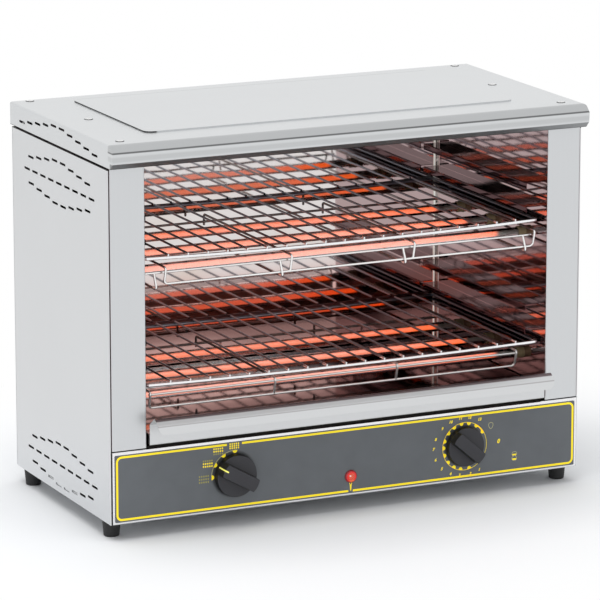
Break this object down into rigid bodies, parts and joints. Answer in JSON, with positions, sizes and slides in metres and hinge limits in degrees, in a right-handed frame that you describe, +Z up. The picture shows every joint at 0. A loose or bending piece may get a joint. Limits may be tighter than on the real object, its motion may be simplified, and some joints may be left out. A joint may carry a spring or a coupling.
{
  "type": "toaster",
  "caption": "Wide open-fronted bench toaster with wire racks between rows of quartz tubes, a crumb tray, and a selector, timer and pilot lamp below.",
  "frame": {"origin": "middle of the footprint, on the bench", "axes": "+X to the right as seen from the front, +Y into the depth, +Z up"},
  "size_m": [0.64, 0.355, 0.49],
  "materials": {
    "brushed_sheet": "satin stainless sheet with a fine grain",
    "polished_sheet": "mirror polished stainless sheet",
    "satin_sheet": "satin stainless sheet",
    "overlay_film": "grey printed film with yellow marks",
    "bright_wire": "bright nickel plated wire",
    "quartz": "glowing quartz tube",
    "ceramic": "unglazed steatite",
    "knob_plastic": "finely grained black plastic",
    "spindle_steel": "turned steel",
    "dark_plastic": "moulded black plastic",
    "zinc": "zinc plated steel",
    "red_lens": "clear red plastic",
    "foot_rubber": "moulded black rubber",
    "terminal_plastic": "natural moulded plastic"
  },
  "bodies": {
    "housing": {"base_pan": "brushed_sheet", "left_side_panel": "brushed_sheet", "right_side_panel": "brushed_sheet", "rear_cover": "brushed_sheet", "top_cover": "brushed_sheet", "control_panel": "brushed_sheet", "control_overlay": "overlay_film", "chamber_floor": "polished_sheet", "chamber_left_wall": "polished_sheet", "chamber_right_wall": "polished_sheet", "chamber_back_wall": "polished_sheet", "chamber_ceiling": "polished_sheet", "middle_upper_guard": "bright_wire", "middle_lower_guard": "bright_wire", "lower_guard": "bright_wire", "upper_guard": "bright_wire", "lower_front_tube": "quartz", "lower_front_left_ceramic": "ceramic", "lower_front_right_ceramic": "ceramic", "lower_centre_tube": "quartz", "lower_centre_left_ceramic": "ceramic", "lower_centre_right_ceramic": "ceramic", "lower_rear_tube": "quartz", "lower_rear_left_ceramic": "ceramic", "lower_rear_right_ceramic": "ceramic", "middle_front_tube": "quartz", "middle_front_left_ceramic": "ceramic", "middle_front_right_ceramic": "ceramic", "middle_centre_tube": "quartz", "middle_centre_left_ceramic": "ceramic", "middle_centre_right_ceramic": "ceramic", "middle_rear_tube": "quartz", "middle_rear_left_ceramic": "ceramic", "middle_rear_right_ceramic": "ceramic", "upper_front_tube": "quartz", "upper_front_left_ceramic": "ceramic", "upper_front_right_ceramic": "ceramic", "upper_centre_tube": "quartz", "upper_centre_left_ceramic": "ceramic", "upper_centre_right_ceramic": "ceramic", "upper_rear_tube": "quartz", "upper_rear_left_ceramic": "ceramic", "upper_rear_right_ceramic": "ceramic", "selector_switch": "dark_plastic", "timer_body": "zinc", "pilot_lens": "red_lens", "lamp_holder": "dark_plastic", "front_left_foot": "foot_rubber", "front_right_foot": "foot_rubber", "rear_left_foot": "foot_rubber", "rear_right_foot": "foot_rubber", "cable_gland": "dark_plastic", "terminal_block": "terminal_plastic"},
    "crumb_tray": {"crumb_tray": "satin_sheet"},
    "upper_rack": {"upper_rack": "bright_wire"},
    "lower_rack": {"lower_rack": "bright_wire"},
    "selector": {"selector_knob": "knob_plastic", "selector_spindle": "spindle_steel"},
    "timer": {"timer_knob": "knob_plastic", "timer_spindle": "spindle_steel"}
  },
  "joints": [
    {"name": "tray_slide", "type": "slide", "parent": "housing", "child": "crumb_tray", "axis": [0, -1, 0], "range_m": [0, 0.28]},
    {"name": "upper_rack_slide", "type": "slide", "parent": "housing", "child": "upper_rack", "axis": [0, -1, 0], "range_m": [0, 0.24]},
    {"name": "lower_rack_slide", "type": "slide", "parent": "housing", "child": "lower_rack", "axis": [0, -1, 0], "range_m": [0, 0.24]},
    {"name": "selector_turn", "type": "hinge", "parent": "housing", "child": "selector", "pos_m": [-0.156, -0.14611, 0.0659], "axis": [0, -1, 0], "range_deg": [-60, 30]},
    {"name": "timer_turn", "type": "hinge", "parent": "housing", "child": "timer", "pos_m": [0.1585, -0.14611, 0.0659], "axis": [0, -1, 0], "range_deg": [-288, 41]}
  ]
}
